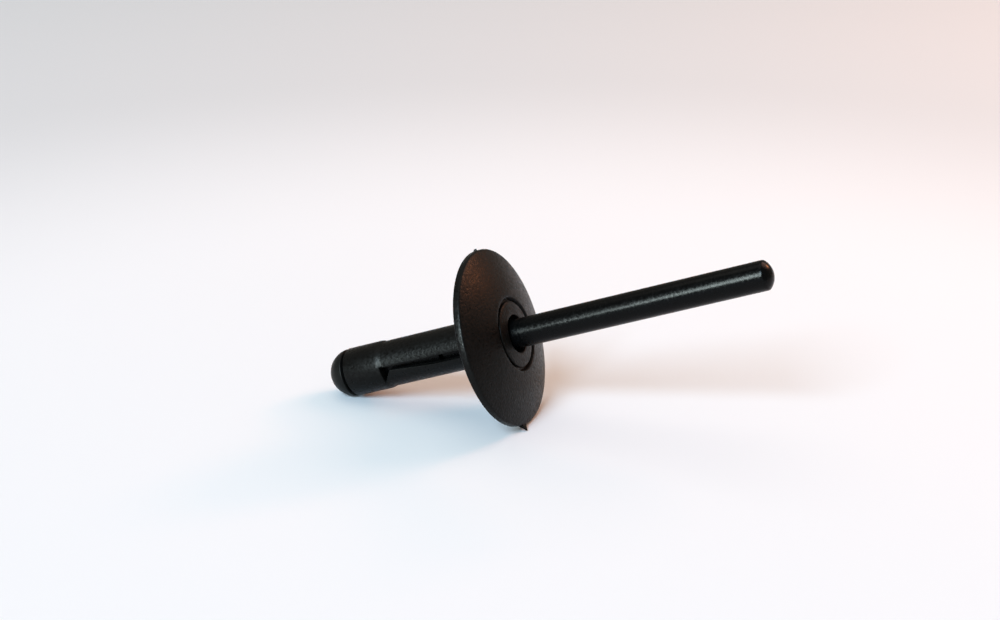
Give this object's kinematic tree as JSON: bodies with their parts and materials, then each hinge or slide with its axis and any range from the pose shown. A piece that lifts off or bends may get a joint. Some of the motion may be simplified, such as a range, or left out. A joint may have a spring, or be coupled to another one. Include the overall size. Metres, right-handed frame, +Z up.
{
  "type": "expanding rivet",
  "caption": "Blind expanding rivet of black nylon, not yet set: a wide crowned flange on a slotted sleeve, with a domed mandrel through it.",
  "frame": {"origin": "on the surface that the rivet lies on, under the middle of its length and width", "axes": "+Z up, +X along the floor towards the free end of the pull stem, +Y across the rivet"},
  "size_m": [0.0482, 0.019, 0.0207],
  "materials": {
    "sleeve_nylon": "black moulded nylon with a fine spark-eroded grain",
    "mandrel_nylon": "black moulded nylon, satin"
  },
  "bodies": {
    "mandrel": {"mandrel": "mandrel_nylon"},
    "sleeve": {"sleeve": "sleeve_nylon"}
  },
  "joints": [
    {"name": "sleeve_slide", "type": "slide", "parent": "mandrel", "child": "sleeve", "axis": [0.937, 0, 0.3492], "range_m": [0, 0.0274]}
  ]
}
